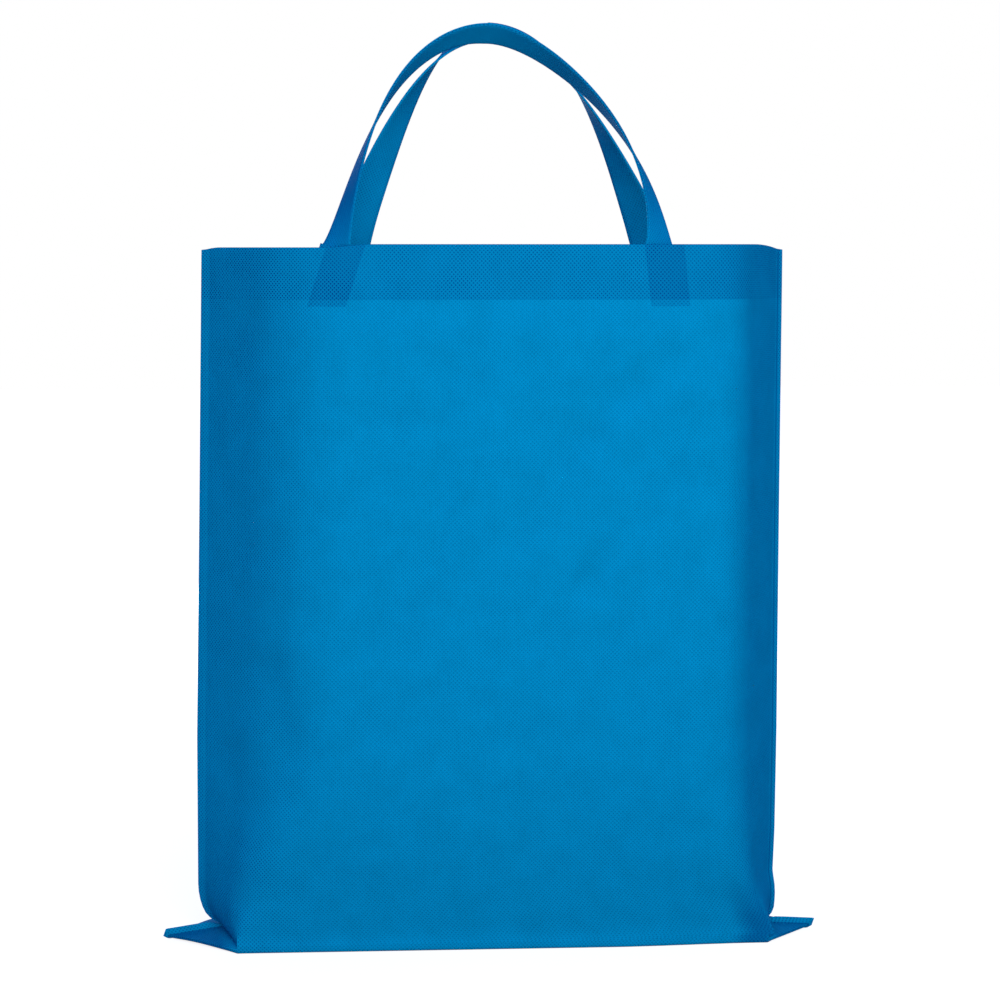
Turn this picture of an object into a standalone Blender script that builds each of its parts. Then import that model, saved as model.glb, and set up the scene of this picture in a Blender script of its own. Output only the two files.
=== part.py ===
# Non-woven carrier bag, standing open on its folded-out base
#
# The bag is one sheet folded at the bottom, closed up both sides by an outside
# seam, and hemmed inside at the mouth. The two bottom corners are pushed flat,
# so the base is a rectangle with a triangular ear lying on the floor at each
# end. Two folded straps are fixed inside the hem and twist up into an arch.
#
# Metres, +Z up. The origin is the middle of the base, on the floor. The front
# panel faces -Y and the side seams run up at -X and +X.

import math

import bmesh
import bpy
import numpy as np
from mathutils import Vector

# Driving dimensions of the bag
FLAT_WIDTH = 0.380          # seam to seam with the bag folded flat
PANEL_HEIGHT = 0.405        # floor to rim
BASE_DEPTH = 0.075          # front to back across the base
SIDE_DRAW = 0.0208          # each side draws in this far as the bag opens
MOUTH_DRAW = 0.0040         # each side draws in this much more at the rim
SIDE_ROLL = 0.027           # height over which the side wall rounds out above its ear
LEFT_TURN = 0.050           # the panels turn away this far in from the left seam
RIGHT_TURN = 0.030          # and this far in from the right seam
LEFT_SOFTNESS = 0.028       # cloth on each side of the left turn that bends in it
RIGHT_SOFTNESS = 0.014      # the same at the right turn
TURN_RISE = 0.110           # height over which the turns come in from the base corners
TAKE_UP = 0.006             # width of cloth that small creases take up
SHEET = 0.0006              # thickness of the cloth
PLY_GAP = 0.0004            # air between two plies that lie together
HEM = 0.029                 # depth of the hem inside the mouth
SEAM_FIN = 0.0035           # how far the side seam stands out
EAR_HEIGHT = 0.0022         # thickness of an ear at its folded edge
EAR_RISE = 0.0020           # an ear is this much higher where it meets the side wall
FIN_RECOVERY = 0.25         # how fast the seam stands up again away from the ear's crease

# Driving dimensions of the handles
STRAP_WIDTH = 0.022
STRAP_THICKNESS = 0.0014
STRAP_TAB = 0.033           # length fixed inside the mouth
TAB_FLAT = 0.012            # lowest part of the tab, which lies flat on the hem
SEAT_GAP = 0.0004           # between a strap and the hem that it is fixed to
CROWN_GAP = 0.0010          # between the two straps at the top of the arch
ARCH_POWER = 1.5            # how square the shoulders of the arch are

# Each handle: feet left and right of the middle, top of the arch, its height
# above the rim, the turn of the strap at the rim and at the top, in degrees,
# and how soon the strap takes up its turn
FRONT_HANDLE = {
    "left_foot": 0.0904,
    "right_foot": 0.0943,
    "crown_x": -0.0070,
    "rise": 0.1210,
    "rim_turn": 39.0,
    "crown_turn": 121.0,
    "turn_power": 0.65,
}
BACK_HANDLE = {
    "left_foot": 0.0785,
    "right_foot": 0.0920,
    "crown_x": -0.0010,
    "rise": 0.1190,
    "rim_turn": 12.0,
    "crown_turn": 115.0,
    "turn_power": 0.9,
}

# How finely the shapes are divided
PANEL_STEPS = 11            # across half of the front, up to the base corner
EAR_STEPS = 4               # from the base corner to the side seam
WALL_STEPS = 10             # up the wall, from the rounded bottom to the hem
STRAP_STEPS = 44            # along the free length of a strap
TAB_STEPS = 8               # along a strap's tab
BEND_SAMPLES = 24           # along each turn of the outline

# Sheet colours and finish
BAG_BLUE = (0.0, 0.20, 0.47, 1.0)
STRAP_BLUE = (0.0, 0.14, 0.39, 1.0)
CLOTH_ROUGHNESS = 0.75

HALF_FLAT = FLAT_WIDTH / 2
HALF_BASE = BASE_DEPTH / 2
BASE_CORNER = HALF_FLAT - HALF_BASE
EAR_TOP = EAR_HEIGHT + EAR_RISE
FOLD_WIDTH = 2 * SHEET + PLY_GAP
HALF_FIN = FOLD_WIDTH / 2


def clear_scene():
    for obj in list(bpy.data.objects):
        bpy.data.objects.remove(obj, do_unlink=True)


def cloth_material(name, colour):
    material = bpy.data.materials.new(name)
    material.use_nodes = True
    shader = material.node_tree.nodes["Principled BSDF"]
    shader.inputs["Base Color"].default_value = colour
    shader.inputs["Roughness"].default_value = CLOTH_ROUGHNESS
    shader.inputs["Metallic"].default_value = 0.0
    return material


def mix(start, end, share):
    return start + (end - start) * share


def smooth(share):
    """A soft start and end between 0 and 1."""
    share = min(1.0, max(0.0, share))
    return share * share * (3 - 2 * share)


# Plan outline of the bag's front at one height; the back mirrors it

def wall_half_width(height):
    """Half of the bag's width at a height above the ears."""
    widest = HALF_FLAT - SIDE_DRAW
    rolled = min(1.0, max(0.0, (height - EAR_TOP) / SIDE_ROLL))
    low_part = mix(BASE_CORNER, widest, math.sqrt(1 - (1 - rolled) ** 2))
    return low_part - MOUTH_DRAW * height / PANEL_HEIGHT


def bend(start, corner, end):
    """A soft turn from start to end that leaves a corner aside."""
    t = np.linspace(0.0, 1.0, BEND_SAMPLES)[:, None]
    return start * (1 - t) ** 2 + corner * 2 * t * (1 - t) + end * t ** 2


def outline_at_depth(half_width, reaches, softness, depth):
    """From the left seam along the front to the right seam, for a given half depth."""
    seams = (np.array((-half_width, 0.0)), np.array((half_width, 0.0)))
    corners = (np.array((-reaches[0], -depth)), np.array((reaches[1], -depth)))
    bends = []
    for seam, corner, other, soft in zip(seams, corners, corners[::-1], softness):
        side = seam - corner
        front = other - corner
        soft = min(soft, np.linalg.norm(side) / 2)
        near_seam = corner + side * soft / np.linalg.norm(side)
        near_front = corner + front * soft / np.linalg.norm(front)
        bends.append(bend(near_seam, corner, near_front))
    return np.vstack((seams[0], bends[0], bends[1][::-1], seams[1]))


def outline_length(points):
    return float(np.linalg.norm(np.diff(points, axis=0), axis=1).sum())


def front_outline(height):
    """The front's outline, as deep as the width of the cloth makes it.

    The cloth neither stretches nor shrinks, so as the sides draw in the panels
    move apart.
    """
    half_width = wall_half_width(height)
    opened = smooth((height - EAR_TOP) / TURN_RISE)
    reaches = [mix(BASE_CORNER, half_width - turn, opened) for turn in (LEFT_TURN, RIGHT_TURN)]
    softness = [soft * opened for soft in (LEFT_SOFTNESS, RIGHT_SOFTNESS)]
    cloth = FLAT_WIDTH - TAKE_UP * opened
    low, high = 0.0, HALF_FLAT
    for _ in range(50):
        depth = (low + high) / 2
        points = outline_at_depth(half_width, reaches, softness, depth)
        if outline_length(points) < cloth:
            low = depth
        else:
            high = depth
    return points


def cloth_places():
    """Distances along the cloth from the middle of the front to a seam."""
    panel = [BASE_CORNER * i / PANEL_STEPS for i in range(PANEL_STEPS)]
    seam = HALF_FLAT - HALF_FIN
    ear = [mix(BASE_CORNER, seam, i / EAR_STEPS) for i in range(EAR_STEPS + 1)]
    return panel + ear


def base_front(ear_share, height):
    """The front of a ring at the base, from the left seam to the right one.

    An ear share of 0 follows the folded edge of the ear, and 1 the line where
    the ear meets the side wall.
    """
    right = []
    for place in cloth_places():
        depth = min(HALF_BASE, HALF_FLAT - place)
        across = min(place, mix(place, BASE_CORNER, ear_share))
        right.append(Vector((across, -depth, height)))
    left = [Vector((-p.x, p.y, p.z)) for p in right[:0:-1]]
    return left + right


def wall_front(height, inset=0.0):
    """The front of a ring on the wall, moved in from the outer face."""
    outline = front_outline(height)
    along = np.concatenate([[0.0], np.cumsum(np.linalg.norm(np.diff(outline, axis=0), axis=1))])
    along *= FLAT_WIDTH / along[-1]
    slope = np.gradient(outline, along, axis=0)
    slope /= np.linalg.norm(slope, axis=1)[:, None]
    moved = outline + np.column_stack((-slope[:, 1], slope[:, 0])) * inset
    right = cloth_places()
    places = [HALF_FLAT - place for place in right[:0:-1]] + [HALF_FLAT + place for place in right]
    points = []
    for place in places:
        x = np.interp(place, along, moved[:, 0])
        y = np.interp(place, along, moved[:, 1])
        points.append(Vector((x, y, height)))
    for end, way in ((0, slope[0]), (-1, slope[-1])):
        points[end].x -= points[end].y * way[0] / way[1]
        points[end].y = 0.0
    return points


def full_ring(front, outward, reach):
    """A closed ring from its front, with the seam fins standing out of it.

    Where no way out is given, each seam is pressed together to a point instead.
    """
    ends = []
    for root, side in ((front[0], -1), (front[-1], 1)):
        foot = Vector((root.x, -HALF_FIN, root.z))
        if outward is None:
            top = Vector((root.x + side * reach, -HALF_FIN / 3, root.z))
        else:
            top = foot + Vector((side * outward.x, 0.0, outward.z)) * reach
        ends.append((foot, top))
    (left_foot, left_top), (right_foot, right_top) = ends
    near = [left_top, left_foot] + front[1:-1] + [right_foot, right_top]
    return near + [Vector((p.x, -p.y, p.z)) for p in reversed(near)]


def seam_outward(before, after):
    """The direction square to the right seam, out of the bag."""
    along = (after - before).normalized()
    return Vector((along.z, 0.0, -along.x))


def bag_rings():
    """Every ring of the bag's outer skin, from the floor over the rim to the hem's edge."""
    fronts = [base_front(0.0, 0.0), base_front(0.0, EAR_HEIGHT)]
    for share in (0.35, 0.7, 1.0):
        fronts.append(base_front(share, EAR_HEIGHT + EAR_RISE * share))
    heights = [EAR_TOP + SIDE_ROLL * share for share in (0.1, 0.25, 0.5, 1.0)]
    hem_edge = PANEL_HEIGHT - HEM
    wall_start = heights[-1]
    heights += [mix(wall_start, hem_edge, (i + 1) / WALL_STEPS) for i in range(WALL_STEPS)]
    heights += [PANEL_HEIGHT - HEM / 2, PANEL_HEIGHT]
    fronts += [wall_front(height) for height in heights]

    seam = [front[-1] for front in fronts]
    rings = [full_ring(fronts[0], None, HALF_FIN)]
    for i in range(1, len(fronts)):
        before = seam[i - 1] if i > 1 else seam[i]
        after = seam[min(i + 1, len(fronts) - 1)]
        outward = seam_outward(before, after)
        rings.append(full_ring(fronts[i], outward, fin_reach(seam[i])))
    for height in (PANEL_HEIGHT, PANEL_HEIGHT - HEM / 2, hem_edge):
        rings.append(full_ring(wall_front(height, FOLD_WIDTH), None, 0.0))
    return rings


def fin_reach(root):
    """The seam fin is crushed flat in the crease between an ear and the wall."""
    crease = Vector((BASE_CORNER, 0.0, EAR_TOP))
    away = (Vector((root.x, 0.0, root.z)) - crease).length
    return max(SHEET, min(SEAM_FIN, FIN_RECOVERY * away))


def bag_body(collection):
    """The folded sheet: base, ears, walls, seam fins and hem."""
    mesh = bpy.data.meshes.new("bag_body")
    skin = bmesh.new()
    rows = [[skin.verts.new(point) for point in ring] for ring in bag_rings()]
    count = len(rows[0])
    for lower, upper in zip(rows, rows[1:]):
        for i in range(count):
            j = (i + 1) % count
            skin.faces.new((lower[i], lower[j], upper[j], upper[i]))
    close_base(skin, rows[0])
    bmesh.ops.recalc_face_normals(skin, faces=skin.faces)
    skin.to_mesh(mesh)
    skin.free()
    body = bpy.data.objects.new("bag_body", mesh)
    collection.objects.link(body)
    wall = body.modifiers.new("cloth thickness", "SOLIDIFY")
    wall.thickness = SHEET
    wall.offset = -1.0
    return body


def close_base(skin, floor_ring):
    """The base panel, in strips across the bag with the bottom fold down its middle."""
    half = len(floor_ring) // 2
    front = floor_ring[:half]
    back = floor_ring[:half - 1:-1]
    middle = []
    for near, far in zip(front[1:-1], back[1:-1]):
        middle.append(skin.verts.new((near.co + far.co) / 2))
    fold = [front[0]] + middle + [front[-1]]
    for i in range(len(fold) - 1):
        for side in (front, back):
            corners = []
            for vertex in (side[i], side[i + 1], fold[i + 1], fold[i]):
                if vertex not in corners:
                    corners.append(vertex)
            skin.faces.new(corners)


def hem_face(across, height):
    """Depth of the hem's inner face at a place across the mouth."""
    front = wall_front(height, FOLD_WIDTH)
    return float(np.interp(across, [p.x for p in front], [-p.y for p in front]))


def hem_slope(across, height):
    """The angle at which the hem's inner face turns away, outwards across the mouth."""
    half = math.copysign(STRAP_WIDTH / 2, across)
    near = hem_face(across - half, height)
    far = hem_face(across + half, height)
    return math.atan2(near - far, STRAP_WIDTH)


def tab_depth(foot, turn, height):
    """Depth of the strap's middle where its inner edge lies on the hem."""
    half = STRAP_WIDTH / 2
    edge = foot - math.copysign(half * math.cos(turn), foot)
    seat = SEAT_GAP + STRAP_THICKNESS / 2
    return hem_face(edge, height) - seat - half * math.sin(turn)


def strap_tab(foot, rim_turn, rim_depth):
    """Stations up a tab, flat on the hem at first and then lifting to the turn at the rim."""
    stations = []
    inwards = Vector((-math.copysign(1, foot), 0, 0))
    slope = hem_slope(foot, PANEL_HEIGHT - STRAP_TAB)
    for i in range(TAB_STEPS):
        drop = STRAP_TAB * (1 - i / TAB_STEPS)
        lifted = smooth(1 - drop / (STRAP_TAB - TAB_FLAT))
        turn = mix(slope, rim_turn, lifted)
        height = PANEL_HEIGHT - drop
        depth = mix(tab_depth(foot, turn, height), rim_depth, lifted)
        stations.append((Vector((foot, depth, height)), inwards, turn))
    return stations


def strap_arch(spec, rim_turn, rim_depth):
    """Stations over the arch, twisting from the left rim over the top to the right rim."""
    crown_turn = math.radians(spec["crown_turn"])
    crown_depth = (STRAP_WIDTH * math.sin(crown_turn) + CROWN_GAP + STRAP_THICKNESS) / 2
    stations = []
    for i in range(STRAP_STEPS + 1):
        angle = mix(-math.pi / 2, math.pi / 2, i / STRAP_STEPS)
        foot = -spec["left_foot"] if angle < 0 else spec["right_foot"]
        reach = abs(foot - spec["crown_x"])
        level = max(0.0, math.cos(angle))
        up = level ** ARCH_POWER
        middle = Vector((
            spec["crown_x"] + reach * math.sin(angle),
            mix(rim_depth, crown_depth, up),
            PANEL_HEIGHT + spec["rise"] * up,
        ))
        climb = spec["rise"] * ARCH_POWER * level ** (ARCH_POWER - 1) * math.sin(angle)
        along = Vector((reach * level, 0, -climb))
        if i in (0, STRAP_STEPS):
            along = Vector((0, 0, -math.copysign(1, angle)))
        along.normalize()
        inwards = Vector((along.z, 0, -along.x))
        climbed = 1 - abs(angle) / (math.pi / 2)
        turn = mix(rim_turn, crown_turn, climbed ** spec["turn_power"])
        stations.append((middle, inwards, turn))
    return stations


def strap_stations(spec):
    """Along a strap: its middle, the way inwards across the arch, and its turn."""
    feet = (-spec["left_foot"], spec["right_foot"])
    rim_turn = math.radians(spec["rim_turn"])
    rim_depth = min(tab_depth(foot, rim_turn, PANEL_HEIGHT) for foot in feet)
    left_tab = strap_tab(feet[0], rim_turn, rim_depth)
    right_tab = strap_tab(feet[1], rim_turn, rim_depth)
    return left_tab + strap_arch(spec, rim_turn, rim_depth) + right_tab[::-1]


def handle(name, spec, facing, collection, material):
    """A strap as an open ribbon given its thickness; facing is -1 at the front."""
    mesh = bpy.data.meshes.new(name)
    ribbon = bmesh.new()
    rows = []
    for middle, inwards, turn in strap_stations(spec):
        across = inwards * math.cos(turn) + Vector((0, 1, 0)) * math.sin(turn)
        row = []
        for share in (-0.5, 0.0, 0.5):
            point = middle + across * STRAP_WIDTH * share
            row.append(ribbon.verts.new((point.x, facing * point.y, point.z)))
        rows.append(row)
    for lower, upper in zip(rows, rows[1:]):
        for i in range(2):
            ribbon.faces.new((lower[i], lower[i + 1], upper[i + 1], upper[i]))
    bmesh.ops.recalc_face_normals(ribbon, faces=ribbon.faces)
    ribbon.to_mesh(mesh)
    ribbon.free()
    strap = bpy.data.objects.new(name, mesh)
    collection.objects.link(strap)
    strap.data.materials.append(material)
    thickness = strap.modifiers.new("strap thickness", "SOLIDIFY")
    thickness.thickness = STRAP_THICKNESS
    thickness.offset = 0.0
    return strap


def main():
    clear_scene()
    collection = bpy.data.collections.new("carrier_bag")
    bpy.context.scene.collection.children.link(collection)
    body = bag_body(collection)
    body.data.materials.append(cloth_material("bag_cloth", BAG_BLUE))
    strap_cloth = cloth_material("strap_cloth", STRAP_BLUE)
    handle("front_handle", FRONT_HANDLE, -1, collection, strap_cloth)
    handle("back_handle", BACK_HANDLE, 1, collection, strap_cloth)


main()
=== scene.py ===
# A carrier bag of blue non-woven cloth, standing open on its folded-out base
import math

import bmesh
import bpy
import numpy as np
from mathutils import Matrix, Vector, noise


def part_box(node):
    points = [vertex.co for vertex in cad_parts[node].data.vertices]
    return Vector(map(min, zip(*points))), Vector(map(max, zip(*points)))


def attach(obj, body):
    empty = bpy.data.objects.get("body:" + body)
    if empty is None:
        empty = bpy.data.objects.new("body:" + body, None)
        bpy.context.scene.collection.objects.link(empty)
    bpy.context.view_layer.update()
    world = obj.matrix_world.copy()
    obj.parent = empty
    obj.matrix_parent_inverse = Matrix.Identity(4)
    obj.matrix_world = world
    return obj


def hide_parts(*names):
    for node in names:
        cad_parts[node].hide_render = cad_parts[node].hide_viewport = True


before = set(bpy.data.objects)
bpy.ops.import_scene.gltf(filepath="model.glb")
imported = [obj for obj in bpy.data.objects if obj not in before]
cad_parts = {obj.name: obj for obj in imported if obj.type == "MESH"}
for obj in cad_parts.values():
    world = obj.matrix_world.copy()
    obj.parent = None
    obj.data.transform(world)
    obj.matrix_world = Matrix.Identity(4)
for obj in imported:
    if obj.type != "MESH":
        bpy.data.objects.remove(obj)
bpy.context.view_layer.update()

# The bag's own sizes, in metres, from its solids
BAG_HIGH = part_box("bag_body")[1]
HALF_FLAT = BAG_HIGH[0]
FLAT_WIDTH = 2 * HALF_FLAT
RIM = BAG_HIGH[2]

# Cloth and how the open bag stands, as in the solids but for softer turns
BASE_DEPTH = 0.075
SIDE_DRAW = 0.0208
MOUTH_DRAW = 0.0040
SIDE_ROLL = 0.027
LEFT_TURN = 0.052
RIGHT_TURN = 0.030
LEFT_SOFTNESS = 0.034
RIGHT_SOFTNESS = 0.020
TURN_RISE = 0.110
CORNER_SHARE = 0.35          # of their full softness that the turns have low on the wall,
CORNER_RISE = 0.020          # and the height over which they take it
TAKE_UP = 0.006
SHEET = 0.0006
PLY_GAP = 0.0004
HEM = 0.029
SEAM_FIN = 0.0035
EAR_HEIGHT = 0.0022
EAR_RISE = 0.0020
HALF_BASE = BASE_DEPTH / 2
BASE_CORNER = HALF_FLAT - HALF_BASE
EAR_TOP = EAR_HEIGHT + EAR_RISE
FOLD_WIDTH = 2 * SHEET + PLY_GAP
HALF_FIN = FOLD_WIDTH / 2
FOLD_ROUND = 0.0008          # rounding of the cloth where it folds on the floor
RIM_ROUND = 0.0005           # and where the hem turns over the rim

# Handles, as in the solids but with tabs and arches that follow the real ones more closely.
# A pair gives the left and the right leg: turns in degrees from flat, how the leg bows, and how
# far the tab slants outwards for each metre down.
STRAP_WIDTH = 0.022
STRAP_THICKNESS = 0.0014
STRAP_TAB = 0.033
TAB_FLAT = 0.012
SEAT_GAP = 0.0008            # wider than on the solids, since these tabs slant over the hem's bend
FRONT_HANDLE = {
    "feet": (-0.0892, 0.0935),
    "crown_x": -0.0041,
    "crown_depth": 0.0117,
    "rise": 0.1213,
    "rim_turn": (37.2, 32.8),
    "crown_turn": 115.4,
    "turn_power": (0.852, 0.598),
    "twist": (4.9, 8.2),
    "arch_power": (2.147, 1.209),
    "bow": (0.251, -0.074),
    "knee": (0.148, -0.273),
    "slant": (0.30, 0.12),
}
BACK_HANDLE = {
    "feet": (-0.0797, 0.0987),
    "crown_x": 0.0007,
    "crown_depth": 0.0110,
    "rise": 0.1235,
    "rim_turn": (-3.3, -6.8),
    "crown_turn": 125.0,
    "turn_power": (1.102, 1.279),
    "twist": (1.9, 31.5),
    "arch_power": (1.585, 1.775),
    "bow": (-0.115, -0.050),
    "knee": (0.180, 0.146),
    "slant": (0.10, 0.04),
}

# How finely the cloth is divided
PANEL_STEPS = 92
EAR_STEPS = 16
EAR_RINGS = 8
ROLL_RINGS = 9
WALL_RINGS = 84
HEM_RINGS = 10
ARCH_STEPS = 150
TAB_STEPS = 20
BEND_SAMPLES = 40
DEPTH_TRIES = 40             # halvings in the search for the depth of an outline
EAR_CROWDING = 0.7           # below 1, places on an ear lie closer together towards the seam
BASE_CUTS = 5                # across the base, from its front edge to its back edge
FACE_STEPS = 8               # across the face of a strap
SHARP_FOLD = math.radians(50)

# Finish of the cloth
CLOTH_BLUE = (0.0, 0.236, 0.440)
# The straps' blue is a little paler than the bag's, partly as painted light for what comes through their
# thin cloth
STRAP_BLUE = (0.0, 0.240, 0.468)
LATTICE_PITCH = 0.00225      # of the embossed points, across and up
BAG_POINT_DEPTH = 0.00022
STRAP_POINT_DEPTH = 0.00006
POINT_EDGE = (0.30, 0.75)         # from the rim of a fused point to its flat middle
DENSE_SHARES = (0.93, 0.93)       # of the cloth's green and blue where the fibres lie dense,
THIN_SHARES = (1.17, 1.17)        # where they lie thin,
PAINTED_SHADE_SHARES = (0.50, 0.66)     # in painted shade,
POINT_SHARES = (0.16, 0.48)       # and at a fused point
CLOTH_GLOSS = 0.004


def mix(start, end, share):
    return start + (end - start) * share


def smooth(share):
    """A soft start and end between 0 and 1."""
    share = np.clip(share, 0.0, 1.0)
    return share * share * (3 - 2 * share)


# Plan outline of the bag's front at one height

def wall_half_width(height):
    widest = HALF_FLAT - SIDE_DRAW
    rolled = min(1.0, max(0.0, (height - EAR_TOP) / SIDE_ROLL))
    low_part = mix(BASE_CORNER, widest, math.sqrt(1 - (1 - rolled) ** 2))
    return low_part - MOUTH_DRAW * height / RIM


def bend(start, corner, end):
    """A soft turn from start to end that leaves a corner aside."""
    t = np.linspace(0.0, 1.0, BEND_SAMPLES)[:, None]
    return start * (1 - t) ** 2 + corner * 2 * t * (1 - t) + end * t ** 2


def outline_at_depth(half_width, reaches, softness, depth):
    """From the left seam along the front to the right seam, for a given half depth."""
    seams = (np.array((-half_width, 0.0)), np.array((half_width, 0.0)))
    corners = (np.array((-reaches[0], -depth)), np.array((reaches[1], -depth)))
    bends = []
    for seam, corner, other, soft in zip(seams, corners, corners[::-1], softness):
        side = seam - corner
        front = other - corner
        soft = min(soft, np.linalg.norm(side) / 2)
        near_seam = corner + side * soft / np.linalg.norm(side)
        near_front = corner + front * soft / np.linalg.norm(front)
        bends.append(bend(near_seam, corner, near_front))
    return np.vstack((seams[0], bends[0], bends[1][::-1], seams[1]))


def outline_length(points):
    return float(np.linalg.norm(np.diff(points, axis=0), axis=1).sum())


def front_outline(height):
    """The front's outline, as deep as the width of the cloth makes it."""
    half_width = wall_half_width(height)
    opened = float(smooth((height - EAR_TOP) / TURN_RISE))
    reaches = [mix(BASE_CORNER, half_width - turn, opened) for turn in (LEFT_TURN, RIGHT_TURN)]
    rounded = mix(CORNER_SHARE * float(smooth((height - EAR_TOP) / CORNER_RISE)), 1.0, opened)
    softness = [soft * rounded for soft in (LEFT_SOFTNESS, RIGHT_SOFTNESS)]
    cloth = FLAT_WIDTH - TAKE_UP * opened
    low, high = 0.0, HALF_FLAT
    for _ in range(DEPTH_TRIES):
        depth = (low + high) / 2
        points = outline_at_depth(half_width, reaches, softness, depth)
        if outline_length(points) < cloth:
            low = depth
        else:
            high = depth
    return points


def cloth_places():
    """Places along the cloth, measured from the middle of the front."""
    ear = mix(BASE_CORNER, HALF_FLAT, np.linspace(0.0, 1.0, EAR_STEPS + 1) ** EAR_CROWDING)
    panel = np.linspace(-BASE_CORNER, BASE_CORNER, PANEL_STEPS + 1)
    return np.concatenate((-ear[:0:-1], panel, ear[1:]))


PLACES = cloth_places()


def base_front(ear_share, height, inset=0.0):
    """A ring at the base: its front, its back, and how far up the cloth each place lies.

    An ear share of 0 follows the folded edge of the ear, and 1 the line where it meets the wall.
    """
    size = np.abs(PLACES)
    depth = np.minimum(HALF_BASE, HALF_FLAT - size) - inset
    across = np.minimum(size, mix(size, BASE_CORNER, ear_share)) - inset * (size > BASE_CORNER)
    front = np.column_stack((np.sign(PLACES) * across, -depth, np.full(len(PLACES), height)))
    up = height - np.clip(size - BASE_CORNER, 0, None) * (1 - ear_share)
    return front, mirrored(front), up


def mirrored(points):
    flipped = points.copy()
    flipped[:, 1] = -flipped[:, 1]
    return flipped


def wall_front(height):
    """The front of a ring on the wall, with the direction out of the cloth at each place."""
    outline = front_outline(height)
    along = np.concatenate([[0.0], np.cumsum(np.linalg.norm(np.diff(outline, axis=0), axis=1))])
    along *= FLAT_WIDTH / along[-1]
    slope = np.gradient(outline, along, axis=0)
    slope /= np.linalg.norm(slope, axis=1)[:, None]
    places = HALF_FLAT + PLACES
    x, y = (np.interp(places, along, outline[:, i]) for i in (0, 1))
    out_x = np.interp(places, along, slope[:, 1])
    out_y = np.interp(places, along, -slope[:, 0])
    points = np.column_stack((x, y, np.full(len(x), height)))
    outward = np.column_stack((out_x, out_y, np.zeros(len(x))))
    return points, outward


# Creases and swells of the panels. Each crease runs from one place to another,
# across and up the panel, with its breadth and how far it stands out or in.

FRONT_CREASES = [
    ((0.122, 0.352), (0.075, 0.325), 0.013, -0.0022),
    ((0.075, 0.325), (0.045, 0.300), 0.013, -0.0024),
    ((0.045, 0.300), (0.010, 0.240), 0.014, -0.0018),
    ((0.085, 0.255), (0.052, 0.215), 0.009, -0.0016),
    ((0.052, 0.215), (0.022, 0.178), 0.008, -0.0015),
    ((0.070, 0.285), (0.115, 0.278), 0.014, -0.0010),
    ((-0.022, 0.330), (-0.035, 0.270), 0.012, -0.0012),
    ((-0.035, 0.270), (-0.052, 0.190), 0.016, -0.0014),
    ((-0.022, 0.160), (0.036, 0.158), 0.0028, 0.00035),
    ((-0.130, 0.160), (-0.118, 0.120), 0.014, -0.0022),
    ((0.130, 0.330), (0.133, 0.120), 0.010, 0.0008),
]
BACK_CREASES = [
    ((-0.118, 0.345), (-0.062, 0.312), 0.014, -0.0020),
    ((-0.062, 0.312), (-0.020, 0.245), 0.014, -0.0018),
    ((0.060, 0.240), (0.020, 0.170), 0.012, -0.0014),
    ((0.100, 0.330), (0.085, 0.250), 0.013, -0.0012),
    ((-0.060, 0.120), (0.010, 0.112), 0.006, 0.0005),
    ((-0.100, 0.190), (-0.085, 0.110), 0.013, -0.0014),
]
SIDES_APART = 7.0            # gives the front and the back swells of their own
SWELL_SIZE = 0.060           # from one soft swell of the cloth to the next
SWELL_RISE = 0.0011
RIPPLE_SIZE = 0.016
RIPPLE_RISE = 0.00022
FLOOR_CALM = 0.030           # creases and swells fade out over this height above the ears,
HEM_CALM = 0.012             # this far below the hem
SEAM_CALM = 0.030            # and this far from a seam
BULGE = 0.0020               # how far the whole panel stands out below the hem,
BULGE_DROP = 0.024           # which comes in over this far below it
BULGE_START = 0.020          # and, away from a seam, starts here
BULGE_SPREAD = 0.090         # and comes in over this width


def crease_rise(x, z, crease):
    start, end, breadth, rise = crease
    run = (end[0] - start[0], end[1] - start[1])
    size = math.hypot(*run)
    along = ((x - start[0]) * run[0] + (z - start[1]) * run[1]) / size ** 2
    near = np.clip(along, 0.0, 1.0)
    away = np.hypot(x - start[0] - near * run[0], z - start[1] - near * run[1])
    return rise * np.exp(-(away / breadth) ** 2)


def swell(x, z, side, size):
    return np.array([noise.noise(Vector((a / size, z / size, SIDES_APART * side + size))) for a in x])


def panel_rise(points, height, side):
    """How far the cloth stands out of its plan outline along one ring of a panel."""
    x = points[:, 0]
    rise = SWELL_RISE * swell(x, height, side, SWELL_SIZE)
    rise += RIPPLE_RISE * swell(x, height, side, RIPPLE_SIZE)
    for crease in FRONT_CREASES if side < 0 else BACK_CREASES:
        rise += crease_rise(x, height, crease)
    below_hem = RIM - HEM - height
    from_seam = HALF_FLAT - np.abs(PLACES)
    clear_of_floor = smooth((height - EAR_TOP) / FLOOR_CALM)
    clear_of_hem = smooth(below_hem / HEM_CALM)
    clear_of_seam = smooth(from_seam / SEAM_CALM)
    bulge = BULGE * smooth(below_hem / BULGE_DROP)
    bulge *= smooth((from_seam - BULGE_START) / BULGE_SPREAD)
    return rise * clear_of_floor * clear_of_hem * clear_of_seam + bulge * clear_of_floor


# The rim drops towards each seam: by how much, and over what width. From the left strap
# on it stands up a little.
LEFT_DROP = (0.0010, 0.008)
RIGHT_DROP = (0.0026, 0.018)
RIM_LIFT = 0.0018
RIM_LIFT_START = -0.100
RIM_LIFT_SPREAD = 0.030


def rim_dip(points):
    """How far the rim lies below its even height along its ring."""
    edge = wall_half_width(RIM)
    left = LEFT_DROP[0] * np.clip(1 - (edge + points[:, 0]) / LEFT_DROP[1], 0, 1) ** 2
    right = RIGHT_DROP[0] * np.clip(1 - (edge - points[:, 0]) / RIGHT_DROP[1], 0, 1) ** 2
    return left + right - RIM_LIFT * smooth((points[:, 0] - RIM_LIFT_START) / RIM_LIFT_SPREAD)


def stands(height):
    """0 below the hem and 1 at the rim, for what only happens near the mouth."""
    return float(smooth((height - RIM + HEM) / HEM))


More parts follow.
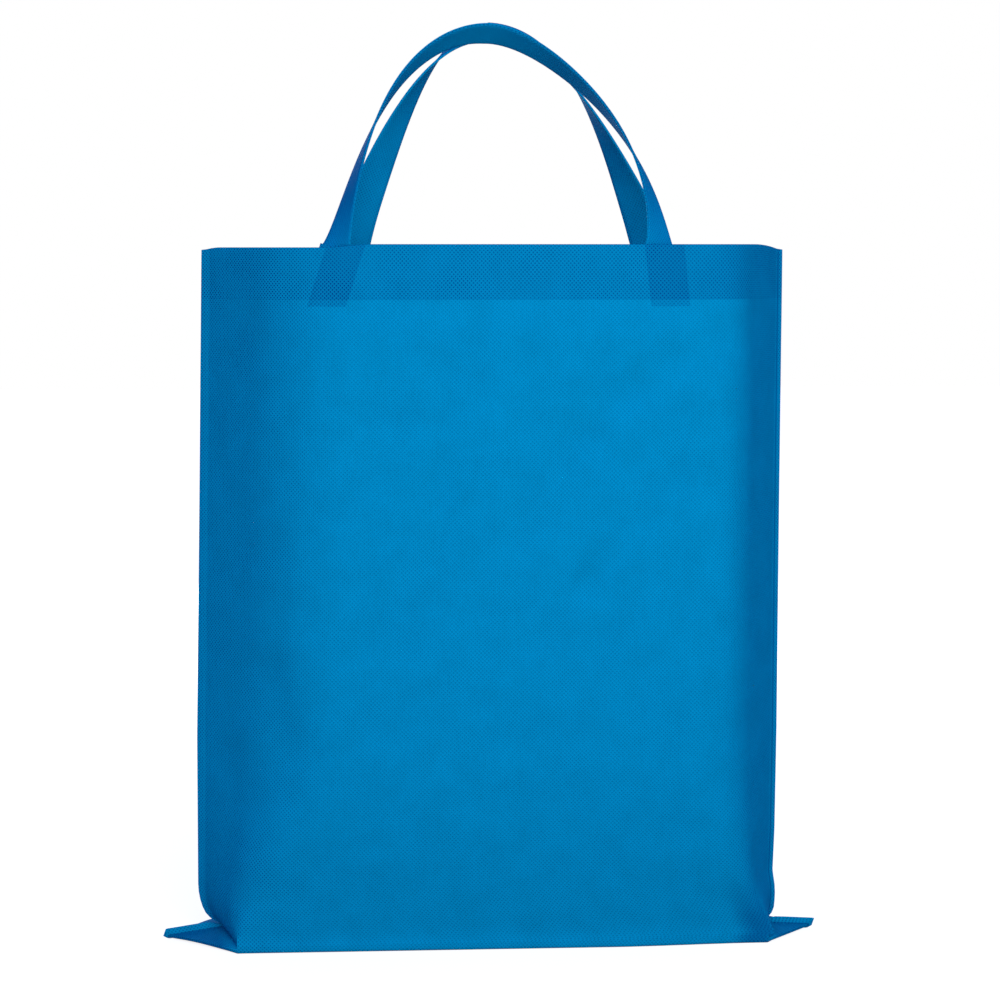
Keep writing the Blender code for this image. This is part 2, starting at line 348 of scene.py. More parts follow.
# How the standing bag is out of true: each side leans in or out by a little at some
# heights, the front of the base has slid to the right, and the left ear lifts at its root.

LEFT_LEAN = ((0.0, 0.0), (0.030, -0.0003), (0.120, -0.0008), (0.250, 0.0006), (0.405, 0.0020))
RIGHT_LEAN = ((0.0, 0.0), (0.0042, 0.0005), (0.0065, 0.0048), (0.0100, 0.0032), (0.0130, 0.0020),
              (0.0180, 0.0004), (0.0340, -0.0028), (0.060, -0.0016),
              (0.120, -0.0004), (0.250, 0.0010), (0.405, 0.0030))
BASE_SLIDE = (0.0044, 0.0084)     # of the front edge, at its left and its right end
CORNER_DRAW = 0.0045              # how far the front right corner is drawn back
SLIDE_HEIGHT = 0.055              # over which both fade out up the wall
DRAW_PLACE = 0.060                # across the bag, where the corner starts to draw back,
DRAW_SPREAD = 0.090               # and the width over which it does
LEFT_EAR_LIFT = 0.0045
EAR_LIFT_SPREAD = 0.050           # the lift grows over this depth from the front edge,
EAR_LIFT_END = 0.050              # ends this far behind the middle
EAR_LIFT_FADE = 0.030             # after fading over this depth,
EAR_LIFT_PLACE = 0.130            # starts this far to the left
EAR_LIFT_BREADTH = 0.022          # growing over this width,
EAR_LIFT_HEIGHT = 0.070           # and is gone at this height


def lean(height, table):
    heights, amounts = zip(*table)
    return float(np.interp(height, heights, amounts))


def left_ear_lift(x, y, z):
    """The left ear stands off the floor where it meets the wall."""
    ear = max(0.0, 1 - max(0.0, abs(x) - BASE_CORNER) / HALF_BASE)
    behind = smooth((y + HALF_BASE) / EAR_LIFT_SPREAD) * smooth((EAR_LIFT_END - y) / EAR_LIFT_FADE)
    at_left = smooth((-x - EAR_LIFT_PLACE) / EAR_LIFT_BREADTH)
    low = 1 - smooth(z / EAR_LIFT_HEIGHT)
    return LEFT_EAR_LIFT * ear * float(behind) * float(at_left) * float(low)


def settle(point):
    """A point of the evenly built bag, moved to where the cloth has settled."""
    x, y, z = point
    share = min(1.0, max(0.0, (x + BASE_CORNER) / (2 * BASE_CORNER)))
    low = 1 - float(smooth(z / SLIDE_HEIGHT))
    front = min(1.0, max(0.0, -y / HALF_BASE))
    moved_x = mix(lean(z, LEFT_LEAN), lean(z, RIGHT_LEAN), share)
    moved_x += mix(*BASE_SLIDE, share) * low * front
    moved_y = CORNER_DRAW * low * front * float(smooth((x - DRAW_PLACE) / DRAW_SPREAD))
    return Vector((x + moved_x, y + moved_y, z + left_ear_lift(x, y, z)))


# Rings of the bag's skin

FIN_LEAN = math.radians(45)       # each seam fin leans back, in line with the front's side
FIN_FALL = 0.4                    # the share of its reach that a fin may point down
FIN_DIP = 0.0004                  # how much lower a fin's corner ends at the rim,
DIP_DEPTH = 0.010                 # starting this far below the rim
DIP_SPREAD = 0.007                # and growing over this height
CRUSH_SIZE = 0.003                # how far from an ear's crease the fin stays crushed flat,
FIN_CRUSHED = 0.0001              # what then stands out of it,
FIN_RECOVERY = 0.30               # and how fast it stands up again


def full_ring(front, back, up, outward, reach):
    """A closed ring from a front and a back, with the seam fins standing out of it."""
    near, far = [Vector(p) for p in front], [Vector(p) for p in back]
    dip = FIN_DIP * float(smooth((near[0].z - RIM + DIP_DEPTH) / DIP_SPREAD)) if reach > 0 else 0.0
    tips = []
    for end, way in ((0, -1), (-1, 1)):
        root = Vector((near[end].x, 0.0, near[end].z))
        near[end] = root - Vector((0, HALF_FIN, 0))
        far[end] = root + Vector((0, HALF_FIN, 0))
        sideways = Vector((way * math.cos(FIN_LEAN), math.sin(FIN_LEAN), 0))
        square = Vector((-way * math.sin(FIN_LEAN), math.cos(FIN_LEAN), 0)) * HALF_FIN
        tip = root + (sideways * outward[0] + Vector((0, 0, outward[1]))) * reach
        tip.z -= dip
        tips.append((tip - square, tip + square) if reach > 0 else (near[end], far[end]))
    near = [tips[0][0]] + near + [tips[1][0]]
    far = [tips[0][1]] + far + [tips[1][1]]
    ups = [up[0]] + list(up) + [up[-1]]
    return [settle(p) for p in near + far[::-1]], ups + ups[::-1]


def ring_places():
    """Distance along the cloth for each point of a ring, all the way round."""
    row = np.concatenate(([-SEAM_FIN], HALF_FLAT + PLACES, [FLAT_WIDTH + SEAM_FIN]))
    return np.concatenate((row, row + FLAT_WIDTH + 2 * SEAM_FIN))


def fin_reach(root):
    """The seam fin is crushed flat in the crease between an ear and the wall."""
    crease = Vector((BASE_CORNER, 0.0, EAR_TOP))
    away = (Vector((root.x, 0.0, root.z)) - crease).length
    return min(SEAM_FIN, FIN_CRUSHED + FIN_RECOVERY * max(0.0, away - CRUSH_SIZE))


def fin_outward(seam, i):
    """Square to the right seam at one ring: how far outwards and how far up."""
    before, after = seam[max(1, i - 1)], seam[min(i + 1, len(seam) - 1)]
    run = (after - before).normalized()
    return run.z, max(-run.x, -FIN_FALL)


def base_rings():
    rings = [base_front(0.0, 0.0, FOLD_ROUND) + (None,)]
    for height in (FOLD_ROUND, EAR_HEIGHT):
        rings.append(base_front(0.0, height) + (None,))
    for i in range(1, EAR_RINGS + 1):
        share = i / EAR_RINGS
        rings.append(base_front(share, EAR_HEIGHT + EAR_RISE * share) + (None,))
    return rings


def wall_ring(height, inset):
    """A ring on the wall or the hem, moved in from the outer face by an inset."""
    points, outward = wall_front(height)
    dip = rim_dip(points) * stands(height)
    sides = []
    for side in (-1, 1):
        rise = panel_rise(points, height, side) - inset
        placed = points + outward * rise[:, None]
        placed[:, 2] -= dip
        placed[:, 1] = -side * placed[:, 1]
        sides.append(placed)
    inner = inset > FOLD_WIDTH / 2
    up = np.full(len(PLACES), height + (RIM - height) * 2 * inner)
    return sides[0], sides[1], up, inset


def bag_rings():
    """Rings from the floor up the outside, over the rim and down the inside of the hem.

    Each ring is its front, its back, how far up the cloth it lies, and its inset from the
    outer face, or None at the base.
    """
    wall_start = EAR_TOP + SIDE_ROLL
    hem_edge = RIM - HEM
    roll = [EAR_TOP + SIDE_ROLL * (1 - math.cos(math.pi / 2 * i / ROLL_RINGS))
            for i in range(1, ROLL_RINGS + 1)]
    wall = [mix(wall_start, hem_edge, i / WALL_RINGS) for i in range(1, WALL_RINGS + 1)]
    hem = [mix(hem_edge, RIM - RIM_ROUND, i / HEM_RINGS) for i in range(1, HEM_RINGS + 1)]
    outside = [(height, 0.0) for height in roll + wall + hem]
    over = [(RIM, RIM_ROUND), (RIM, FOLD_WIDTH - RIM_ROUND)]
    inside = [(height, FOLD_WIDTH) for height in hem[::-1] + [hem_edge]]
    return base_rings() + [wall_ring(*place) for place in outside + over + inside]


def first_ring(shape, count):
    """A closed ring of vertices and edges to be placed, and then pulled into a skin."""
    verts = bmesh.ops.create_circle(shape, segments=count, radius=1.0)["verts"]
    return verts, list(shape.edges)


def extruded_ring(skin, verts, edges):
    """The next ring of vertices and edges, pulled out of the last one in the same order."""
    pulled = bmesh.ops.extrude_edge_only(skin, edges=edges)["geom"]
    fresh = {item for item in pulled if isinstance(item, bmesh.types.BMVert)}
    following = []
    for vert in verts:
        for edge in vert.link_edges:
            other = edge.other_vert(vert)
            if other in fresh:
                following.append(other)
    new_edges = [item for item in pulled
                 if isinstance(item, bmesh.types.BMEdge) and all(v in fresh for v in item.verts)]
    return following, new_edges


def bag_skin():
    """The outer skin as a stack of rings, each pulled up out of the one below."""
    rings = bag_rings()
    seam = [Vector(ring[0][-1]) for ring in rings]
    skin = bmesh.new()
    across_layer = skin.verts.layers.float.new("across")
    up_layer = skin.verts.layers.float.new("up")
    across = ring_places()
    for i, (front, back, up, inset) in enumerate(rings):
        if i == 0:
            outward, reach = (1.0, 0.0), FOLD_ROUND
        elif inset:
            outward, reach = (1.0, 0.0), 0.0
        else:
            outward, reach = fin_outward(seam, i), fin_reach(seam[i])
        points, ups = full_ring(front, back, up, outward, reach)
        if i == 0:
            verts, edges = first_ring(skin, len(points))
            floor_verts = verts
        else:
            verts, edges = extruded_ring(skin, verts, edges)
        for vert, point, s, t in zip(verts, points, across, ups):
            vert.co = point
            vert[across_layer] = s
            vert[up_layer] = t
    return skin, floor_verts, across_layer, up_layer


def close_base(skin, floor_verts):
    """The base panel, bridged from its front edge to its back edge; gives its faces."""
    walls = set(skin.faces)
    half = len(floor_verts) // 2
    near, far = set(floor_verts[:half]), set(floor_verts[half:])
    chains = [edge for edge in skin.edges if set(edge.verts) <= near or set(edge.verts) <= far]
    bmesh.ops.bridge_loops(skin, edges=chains)
    crossing = [edge for edge in skin.edges if near & set(edge.verts) and far & set(edge.verts)]
    bmesh.ops.subdivide_edges(skin, edges=crossing, cuts=BASE_CUTS, use_grid_fill=True)
    return set(skin.faces) - walls


def lay_cloth_map(skin, base, across_layer, up_layer):
    """A map of the cloth in metres: across from the left seam, and up from the floor."""
    cloth_map = skin.loops.layers.uv.new("cloth")
    whole = 2 * (FLAT_WIDTH + 2 * SEAM_FIN)
    for face in skin.faces:
        spread = [loop.vert[across_layer] for loop in face.loops]
        wraps = max(spread) - min(spread) > FLAT_WIDTH
        for loop in face.loops:
            x, y, _ = loop.vert.co
            if face in base:
                loop[cloth_map].uv = (x + HALF_FLAT, abs(y) - HALF_BASE)
            else:
                s = loop.vert[across_layer]
                if wraps and s < FLAT_WIDTH:
                    s += whole
                loop[cloth_map].uv = (s, loop.vert[up_layer])


def bag_body(finish):
    skin, floor_verts, across_layer, up_layer = bag_skin()
    base = close_base(skin, floor_verts)
    bmesh.ops.recalc_face_normals(skin, faces=skin.faces)
    lay_cloth_map(skin, base, across_layer, up_layer)
    body = finished_piece("bag_cloth_body", skin, finish)
    wall = body.modifiers.new("cloth thickness", "SOLIDIFY")
    wall.thickness = SHEET
    wall.offset = -1.0
    return body


def finished_piece(name, shape, finish):
    """An object at the origin from a finished shape, smooth but for its folds."""
    mesh = bpy.data.meshes.new(name)
    shape.to_mesh(mesh)
    shape.free()
    mesh.shade_smooth()
    mesh.set_sharp_from_angle(angle=SHARP_FOLD)
    piece = bpy.data.objects.new(name, mesh)
    bpy.context.scene.collection.objects.link(piece)
    mesh.materials.append(finish)
    return piece


# Handles

def hem_row(height):
    points, outward = wall_front(height)
    return np.array([settle(point) for point in points - outward * FOLD_WIDTH])


def hem_slope(across, row):
    ends = (across - STRAP_WIDTH / 2, across + STRAP_WIDTH / 2)
    near, far = np.interp(ends, row[:, 0], -row[:, 1])
    return math.atan2(math.copysign(1, across) * (near - far), STRAP_WIDTH)


def tab_depth(foot, turn, row):
    """How far back the strap's middle lies for its nearer edge to clear the hem."""
    depths = []
    for edge in (-STRAP_WIDTH / 2, STRAP_WIDTH / 2):
        place = foot - math.copysign(1, foot) * edge * math.cos(turn)
        face = float(np.interp(place, row[:, 0], -row[:, 1]))
        depths.append(face - edge * math.sin(turn))
    return min(depths) - SEAT_GAP - STRAP_THICKNESS / 2


def strap_tab(foot, rim_turn, slant):
    """Stations up a tab, flat on the hem at first and then lifting to the turn at the rim."""
    stations = []
    inwards = Vector((-math.copysign(1, foot), 0, -slant)).normalized()
    slope = hem_slope(foot, hem_row(RIM - STRAP_TAB))
    for i in range(TAB_STEPS):
        drop = STRAP_TAB * (1 - i / TAB_STEPS)
        lifted = float(smooth(1 - drop / (STRAP_TAB - TAB_FLAT)))
        turn = mix(slope, rim_turn, lifted)
        height = RIM - drop
        across = foot + math.copysign(slant * drop, foot)
        depth = tab_depth(across, turn, hem_row(height))
        stations.append((Vector((across, depth, height)), inwards, turn))
    return stations


def strap_arch(spec, rim_depths):
    """Stations over the arch, twisting from the left rim over the top to the right rim."""
    middles, turns = [], []
    for i in range(ARCH_STEPS + 1):
        angle = mix(-math.pi / 2, math.pi / 2, i / ARCH_STEPS)
        leg = 0 if angle < 0 else 1
        level = max(0.0, math.cos(angle))
        up = level ** spec["arch_power"][leg]
        bow = spec["bow"][leg] * level ** 2 + spec["knee"][leg] * level ** 2 * (level ** 2 - 0.5)
        reach = abs(spec["feet"][leg] - spec["crown_x"]) * (1 + bow)
        middles.append(Vector((
            spec["crown_x"] + reach * math.sin(angle),
            mix(rim_depths[leg], spec["crown_depth"], up),
            RIM + spec["rise"] * up,
        )))
        climbed = 1 - abs(angle) / (math.pi / 2)
        turn = mix(spec["rim_turn"][leg], spec["crown_turn"], climbed ** spec["turn_power"][leg])
        turns.append(math.radians(turn + spec["twist"][leg] * 4 * climbed * (1 - climbed)))
    stations = []
    for i, (middle, turn) in enumerate(zip(middles, turns)):
        leg = 0 if i < ARCH_STEPS / 2 else 1
        along = middles[min(ARCH_STEPS, i + 1)] - middles[max(0, i - 1)]
        along = Vector((along.x, 0, along.z)).normalized()
        if i in (0, ARCH_STEPS):
            along = Vector((spec["slant"][leg], 0, 1 - 2 * leg)).normalized()
        stations.append((middle, Vector((along.z, 0, -along.x)), turn))
    return stations


def strap_stations(spec):
    rim = hem_row(RIM)
    turns = [math.radians(turn) for turn in spec["rim_turn"]]
    depths = [tab_depth(foot, turn, rim) for foot, turn in zip(spec["feet"], turns)]
    left_tab, right_tab = (strap_tab(*leg) for leg in zip(spec["feet"], turns, spec["slant"]))
    return left_tab + strap_arch(spec, depths) + right_tab[::-1]


PLY_STEP = 0.0004            # how far one folded edge of the strap stands behind the other
PLY_SLIT = 0.0010            # depth of the slit between the strap's two folded edges


def strap_section():
    """The strap's section: one round folded edge, and one where two folded edges meet."""
    half, thick = STRAP_WIDTH / 2, STRAP_THICKNESS / 2
    shoulder, round_in = thick * 0.7, thick * 0.3
    lip, lip_in = thick * 0.2, PLY_SLIT * 0.3
    face = [mix(-half + thick, half - thick, i / FACE_STEPS) for i in range(FACE_STEPS + 1)]
    upper = [(a, thick) for a in face]
    lower = [(a, -thick) for a in face[::-1]]
    open_edge = [
        (half, shoulder),
        (half - lip_in, lip),
        (half - PLY_SLIT, 0.0),
        (half - PLY_STEP - lip_in, -lip),
        (half - PLY_STEP, -shoulder),
    ]
    folded_edge = [(-half + round_in, -shoulder), (-half, 0.0), (-half + round_in, shoulder)]
    return upper + open_edge + lower + folded_edge


def strap_axes(stations, i):
    """The directions across the strap and out of its face at one station."""
    middle, inwards, turn = stations[i]
    before = stations[max(0, i - 1)][0]
    after = stations[min(len(stations) - 1, i + 1)][0]
    run = (after - before).normalized()
    across = inwards * math.cos(turn) + Vector((0, 1, 0)) * math.sin(turn)
    across = (across - run * across.dot(run)).normalized()
    return middle, across, run.cross(across)


def handle(name, spec, facing, finish):
    """A folded strap: its section pulled along the tabs and the arch, turning as it goes."""
    stations = strap_stations(spec)
    section = strap_section()
    shape = bmesh.new()
    across_layer = shape.verts.layers.float.new("across")
    along_layer = shape.verts.layers.float.new("along")
    travelled = 0.0
    for i in range(len(stations)):
        middle, across, out = strap_axes(stations, i)
        if i == 0:
            verts, edges = first_ring(shape, len(section))
            first = list(verts)
        else:
            verts, edges = extruded_ring(shape, verts, edges)
            travelled += (middle - stations[i - 1][0]).length
        for vert, (a, b) in zip(verts, section):
            point = middle + across * a + out * b
            vert.co = (point.x, facing * point.y, point.z)
            vert[across_layer] = a
            vert[along_layer] = travelled
    for end in (first, verts):
        shape.faces.new(end)
    bmesh.ops.recalc_face_normals(shape, faces=shape.faces)
    cloth_map = shape.loops.layers.uv.new("cloth")
    for face in shape.faces:
        for loop in face.loops:
            loop[cloth_map].uv = (loop.vert[across_layer], loop.vert[along_layer])
    return finished_piece(name, shape, finish)


# Materials

class Field:
    """A value that varies over a surface, from one node's socket."""

    def __init__(self, tree, socket=None):
        self.tree = tree
        self.socket = socket

    def node(self, kind, settings=None, values=None, output=0):
        """Any node: its settings first, then the values or links of its sockets."""
        made = self.tree.nodes.new(kind)
        for name, value in (settings or {}).items():
            setattr(made, name, value)
        for name, value in (values or {}).items():
            if isinstance(value, Field):
                self.tree.links.new(value.socket, made.inputs[name])
            else:
                made.inputs[name].default_value = value
        return Field(self.tree, made.outputs[output] if made.outputs else None)

    def output(self, name):
        """Another output of the same node."""
        return Field(self.tree, self.socket.node.outputs[name])

    def feed(self, shader, name):
        self.tree.links.new(self.socket, shader.inputs[name])

    def math(self, operation, *values):
        return self.node("ShaderNodeMath", {"operation": operation}, dict(enumerate(values)))

    def __add__(self, other):
        return self.math("ADD", self, other)

    def __radd__(self, other):
        return self.math("ADD", other, self)

    def __sub__(self, other):
        return self.math("SUBTRACT", self, other)

    def __rsub__(self, other):
        return self.math("SUBTRACT", other, self)

    def __mul__(self, other):
        return self.math("MULTIPLY", self, other)

    def __rmul__(self, other):
        return self.math("MULTIPLY", other, self)

    def cosine(self):
        return self.math("COSINE", self)

    def size(self):
        return self.math("ABSOLUTE", self)

    def between(self, low, high):
        """0 below low, 1 above high, and soft between them."""
        return self.node(
            "ShaderNodeMapRange",
            {"interpolation_type": "SMOOTHSTEP", "clamp": True},
            {"Value": self, "From Min": low, "From Max": high},
        )

    def line(self, middle, half_width, faded):
        """1 within half a width of a middle, and 0 once faded away from it."""
        return 1 - (self - middle).size().between(half_width, faded)

    def tint(self, first, second):
        """A colour from first to second as this goes from 0 to 1."""
        return self.node(
            "ShaderNodeMix",
            {"data_type": "RGBA", "clamp_factor": True},
            {0: self, 6: first, 7: second},
            output=2,
        )


def new_finish(name):
    material = bpy.data.materials.new(name)
    material.use_nodes = True
    shader = material.node_tree.nodes["Principled BSDF"]
    return material, shader, Field(material.node_tree)


def shade(colour, green, blue):
    """A colour with its green and blue taken by shares; the cloth has no red."""
    return (0.0, colour[1] * green, colour[2] * blue, 1.0)


def spunbond(name, colour, plies_and_shade, depth_of_points):
    """Non-woven cloth: fused points in a diagonal lattice, over cloudy, tangled fibres.

    The function passed in gives, from the place on the cloth, how clearly the points show over the
    layers behind, and how much painted shade darkens the cloth.
    """
    material, shader, field = new_finish(name)
    cloth = field.node("ShaderNodeUVMap", {"uv_map": "cloth"})
    across = field.node("ShaderNodeSeparateXYZ", values={0: cloth})
    up = across.output(1)

    turns = 2 * math.pi / LATTICE_PITCH
    lattice = (across * turns).cosine() * (up * turns).cosine()
    points = lattice.between(*POINT_EDGE)

    def cloud(size, detail, roughness, stretch=(1, 1, 1)):
        spot = field.node(
            "ShaderNodeVectorMath", {"operation": "MULTIPLY"},
            {0: cloth, 1: tuple(s / size for s in stretch)},
        )
        return field.node(
            "ShaderNodeTexNoise", {"noise_dimensions": "2D"},
            {"Vector": spot, "Scale": 1.0, "Detail": detail, "Roughness": roughness},
        )

    clouds = cloud(size=0.018, detail=3.0, roughness=0.6)
    patches = cloud(size=0.030, detail=1.0, roughness=0.5)
    fibres = cloud(size=0.0007, detail=2.0, roughness=0.7)
    streaks = cloud(size=0.0016, detail=2.0, roughness=0.6, stretch=(1.0, 0.12, 1.0))

    behind, darker = plies_and_shade(across, up)
    contrast = (0.16 + 0.72 * behind) * (0.25 + 1.5 * patches)
    open_cloth = (clouds - 0.5) * 0.55 + (fibres - 0.5) * 0.35 + (streaks - 0.5) * 0.25 + 0.5
    ground = open_cloth.between(0.0, 1.0).tint(shade(colour, *DENSE_SHARES), shade(colour, *THIN_SHARES))
    # The ground deepened towards a darker blue by painted shade
    ground_in_painted_shade = darker.tint(ground, shade(colour, *PAINTED_SHADE_SHARES))
    (points * contrast).tint(ground_in_painted_shade, shade(colour, *POINT_SHARES)).feed(shader, "Base Color")
    rough = 0.78 - 0.14 * points + 0.06 * (fibres - 0.5)
    rough.feed(shader, "Roughness")
    height = (fibres - 0.5) * 0.30 + (streaks - 0.5) * 0.15 - points
    bumped = field.node("ShaderNodeBump", values={
        "Strength": 1.0, "Distance": depth_of_points, "Height": height,
    })
    bumped.feed(shader, "Normal")
    shader.inputs["Specular IOR Level"].default_value = CLOTH_GLOSS
    return material


# How clearly the points show, from 0 to 1, where more layers lie behind, and at the sides, where painted
# shade makes them clearer
HEM_POINTS = 0.52
EAR_POINTS = 0.40
CORNER_POINTS = 0.40
SIDE_POINTS = 0.50
TAB_POINTS = 0.45
STRAP_POINTS = 0.50

# How much the cloth is darkened. Over the hem and the tabs this is painted shade, for the light that
# shines through one ply but not through several; on the ears and low at the base's right corner it is
# painted shade near the floor
HEM_SHADE = 0.03
FLAT_HEM_SHADE = 0.24        # besides, where the hem lies flat against the front
FOLD_SHADE = 0.14
CORNER_SHADE = 0.85
EAR_SHADE = 0.62
RIGHT_EAR_PALER = 0.42
TAB_SHADE = 0.30
TAB_EDGE_SHADE = 0.10
STRAP_LINE_SHADE = 0.40

# Where all this lies, across from the left seam and up from the floor. A pair is the start
# and the end of a soft edge, or half the width of a line and where it has faded.
SHARP = 0.0001
HEM_BLUR = 0.0003
TAB_END_BLUR = 0.0005
TAB_SIDE_BLUR = 0.0006
FLAT_HEM_LEFT = (0.045, 0.110)
FLAT_HEM_RIGHT = (0.260, 0.320)
RIGHT_HEM_SHARE = 0.55
FLAT_HEM_END = (0.324, 0.346)
EAR_FOLD = (-0.008, 0.001)
EAR_PALING = (0.1, 0.3)
CORNER_START = (0.318, 0.334)
CORNER_END = (0.340, 0.346)
CORNER_TOP = (0.008, 0.045)
LEFT_SIDE = (0.040, 0.095)
RIGHT_SIDE = (0.320, 0.350)
FOLD_LINE = (0.0002, 0.0008)
TAB_LINE = (0.0002, 0.0007)
SEAM_LINE = (0.0003, 0.0011)
STRAP_LINE = (0.0001, 0.0004)
STRAP_LINE_INSET = 0.0018

BACK_START = FLAT_WIDTH + 2 * SEAM_FIN            # where the back's cloth begins on the map
TAB_MARKS = [
    # middle of the tab at the rim and at its foot, across from the left seam
    (0.0985, 0.0875),
    (0.2796, 0.2840),
    (BACK_START + 0.0925, BACK_START + 0.0925),
    (BACK_START + 0.2705, BACK_START + 0.2705),
]
SEAM_LINES = ((0.0, 0.10), (FLAT_WIDTH, 0.80))    # place of the left and the right seam, and the depth of the painted shadow along its fin's root


def tab_mark(across, up, top, foot):
    """Where a strap's tab lies behind the hem, and the tab's two edges."""
    slant = (top - foot) / STRAP_TAB
    away = (across - (top - slant * RIM) - up * slant).size()
    low_end = RIM - STRAP_TAB
    inside = up.between(low_end - TAB_END_BLUR, low_end + TAB_END_BLUR)
    half = STRAP_WIDTH / 2
    mark = inside * (1 - away.between(half - TAB_SIDE_BLUR, half + TAB_SIDE_BLUR))
    edges = inside * away.line(half, *TAB_LINE)
    return mark, edges


def body_plies_and_shade(across, up):
    """Layers lie behind the outer one at the hem and the tabs, where the points show more clearly and
    painted shade stands in for the light that shines through one ply but not through several; painted
    shade also lies on the ears, low at the base's right corner and along each seam fin's root, and the
    points show more clearly at the sides, where they lie in shade.
    """
    place = across - BACK_START * across.math("GREATER_THAN", across, FLAT_WIDTH + SEAM_FIN)
    hem_edge = RIM - HEM
    hem = up.between(hem_edge - HEM_BLUR, hem_edge + HEM_BLUR)
    flat_hem = place.between(*FLAT_HEM_LEFT) + RIGHT_HEM_SHARE * place.between(*FLAT_HEM_RIGHT)
    flat_hem = flat_hem * (1 - place.between(*FLAT_HEM_END))
    fold = up.line(hem_edge, *FOLD_LINE)
    # Painted shade on the ears, less of it on the right one
    ear = (1 - up.between(*EAR_FOLD)) * place.between(-SHARP, SHARP)
    ear = ear * (1 - place.between(FLAT_WIDTH - SHARP, FLAT_WIDTH + SHARP))
    # Painted shade low at the base's right corner, near the floor
    corner = place.between(*CORNER_START) * (1 - up.between(*CORNER_TOP))
    corner = corner * (1 - place.between(*CORNER_END))
    # At the sides the points show more clearly, as painted shade
    sides = 1 - place.between(*LEFT_SIDE) + place.between(*RIGHT_SIDE)

    # Over the hem, its fold and the tabs the darkening is painted shade, for the light that shines
    # through one ply but not through several
    darker = hem * (HEM_SHADE + FLAT_HEM_SHADE * flat_hem) + fold * FOLD_SHADE + corner * CORNER_SHADE
    darker = darker + ear * (EAR_SHADE - RIGHT_EAR_PALER * place.between(*EAR_PALING))
    behind = hem * HEM_POINTS + ear * EAR_POINTS + corner * CORNER_POINTS + sides * SIDE_POINTS
    for top, foot in TAB_MARKS:
        mark, edges = tab_mark(across, up, top, foot)
        behind = behind + mark * TAB_POINTS
        darker = darker + mark * TAB_SHADE + edges * TAB_EDGE_SHADE
    # A painted shadow line along the root of each seam fin
    for seam, depth in SEAM_LINES:
        darker = darker + depth * place.line(seam, *SEAM_LINE)
    return behind, darker


def strap_plies(across, _):
    """The strap's folded layers meet in a fine line a little way in from its open edge."""
    line = across.line(STRAP_WIDTH / 2 - STRAP_LINE_INSET, *STRAP_LINE)
    return STRAP_POINTS, line * STRAP_LINE_SHADE


# Stage, light and camera

CAMERA_TURN = math.radians(-3.5)
CAMERA_AWAY = 1.5176
CAMERA_DROP = math.radians(5.53)
CAMERA_YAW = math.radians(-3.72)
LENS = 93.94
SENSOR = 36.0

LAMPS = (
    # name, azimuth and elevation in degrees, distance, size, watts
    ("key light", 9, 21, 1.05, 0.50, 6.8),
    ("low light", -5, -4, 1.30, 0.40, 3.3),
    ("back light", 188, 12, 1.6, 0.9, 14.0),
)
FILL_LIGHT = (0.18, 0.245, 0.58, 1.0)

FLOOR_SIZE = 6.0
FLOOR_GAP = 0.0004                # between the floor and the bag's base
FLOOR_GREY = (0.34, 0.34, 0.34, 1.0)
NEAR_GLOW = 0.86                  # of the floor under the bag, as the eye sees it
GLOW_SPREAD = (0.3, 1.2)          # from here outwards it rises to white


def add_camera():
    data = bpy.data.cameras.new("camera")
    data.lens = LENS
    data.sensor_width = SENSOR
    camera = bpy.data.objects.new("camera", data)
    camera.location = (
        CAMERA_AWAY * math.sin(CAMERA_TURN), -CAMERA_AWAY * math.cos(CAMERA_TURN), RIM,
    )
    camera.rotation_euler = (math.pi / 2 - CAMERA_DROP, 0.0, CAMERA_YAW)
    bpy.context.scene.collection.objects.link(camera)
    bpy.context.scene.camera = camera


def add_light(name, azimuth, elevation, away, size, watts):
    """A square soft light aimed at the middle of the bag; azimuth 0 is the front."""
    data = bpy.data.lights.new(name, "AREA")
    data.size = size
    data.energy = watts
    light = bpy.data.objects.new(name, data)
    a, e = math.radians(azimuth), math.radians(elevation)
    back = Vector((math.sin(a) * math.cos(e), -math.cos(a) * math.cos(e), math.sin(e)))
    aim = Vector((0, 0, RIM / 2))
    light.location = aim + back * away
    light.rotation_euler = (-back).to_track_quat("-Z", "Y").to_euler()
    bpy.context.scene.collection.objects.link(light)


def white_to_the_eye(field):
    """1 for what the camera, a gloss or a see-through surface sees, and 0 for light on the bag."""
    seen = field.node("ShaderNodeLightPath")
    through = seen.math("MAXIMUM", seen.output("Is Glossy Ray"), seen.output("Is Transmission Ray"))
    return seen.math("MAXIMUM", seen, through)


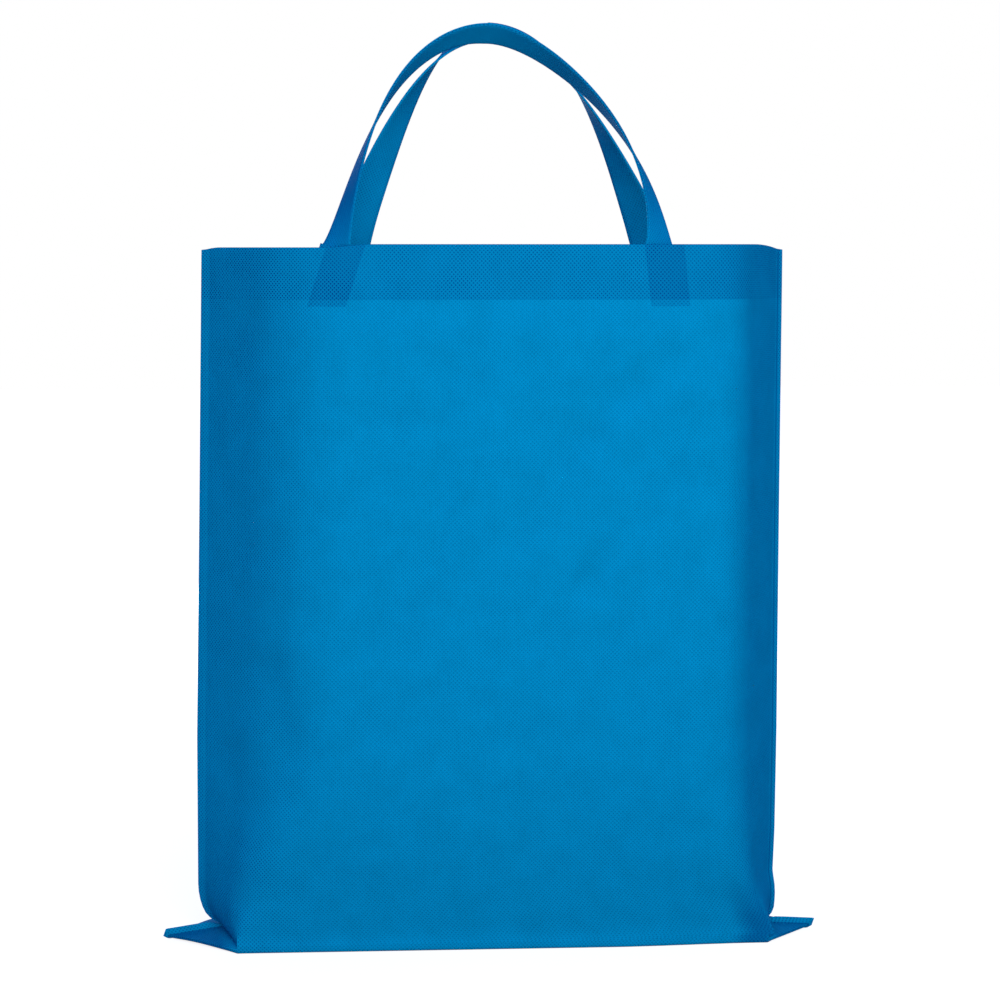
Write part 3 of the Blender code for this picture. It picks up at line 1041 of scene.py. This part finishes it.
def add_floor():
    """A pale floor that shows as white and keeps a soft trace of the bag's shadow."""
    mesh = bpy.data.meshes.new("floor")
    plane = bmesh.new()
    bmesh.ops.create_grid(plane, x_segments=1, y_segments=1, size=FLOOR_SIZE)
    plane.to_mesh(mesh)
    plane.free()
    floor = bpy.data.objects.new("floor", mesh)
    bpy.context.scene.collection.objects.link(floor)
    floor.location.z = -FLOOR_GAP
    material = bpy.data.materials.new("floor_white")
    material.use_nodes = True
    tree = material.node_tree
    tree.nodes.clear()
    field = Field(tree)
    place = field.node("ShaderNodeTexCoord", output=3)
    away = field.node("ShaderNodeVectorMath", {"operation": "LENGTH"}, {0: place}, output=1)
    spread = away.between(*GLOW_SPREAD)
    lift = (NEAR_GLOW + (1 - NEAR_GLOW) * spread) * white_to_the_eye(field)
    glow = field.node("ShaderNodeEmission", values={"Strength": lift})
    matt = field.node("ShaderNodeBsdfDiffuse", values={"Color": FLOOR_GREY})
    surface = field.node("ShaderNodeAddShader", values={0: glow, 1: matt})
    field.node("ShaderNodeOutputMaterial", values={"Surface": surface})
    mesh.materials.append(material)


def add_world():
    world = bpy.data.worlds.new("studio")
    bpy.context.scene.world = world
    world.use_nodes = True
    tree = world.node_tree
    tree.nodes.clear()
    field = Field(tree)
    seen = white_to_the_eye(field)
    tone = seen.tint(FILL_LIGHT, (1.0, 1.0, 1.0, 1.0))
    glow = field.node("ShaderNodeBackground", values={"Color": tone, "Strength": 1.0})
    field.node("ShaderNodeOutputWorld", values={"Surface": glow})


def main():
    bpy.context.scene.view_settings.view_transform = "Standard"
    add_camera()
    add_floor()
    add_world()
    for lamp in LAMPS:
        add_light(*lamp)

    bag_finish = spunbond("spunbond_bag_cloth", CLOTH_BLUE, body_plies_and_shade, BAG_POINT_DEPTH)
    strap_finish = spunbond("spunbond_strap_cloth", STRAP_BLUE, strap_plies, STRAP_POINT_DEPTH)

    body = bag_body(bag_finish)
    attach(body, "root")
    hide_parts("bag_body")

    for name, node, spec, facing in (
        ("front_strap", "front_handle", FRONT_HANDLE, -1),
        ("back_strap", "back_handle", BACK_HANDLE, 1),
    ):
        strap = handle(name, spec, facing, strap_finish)
        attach(strap, "root")
        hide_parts(node)


main()
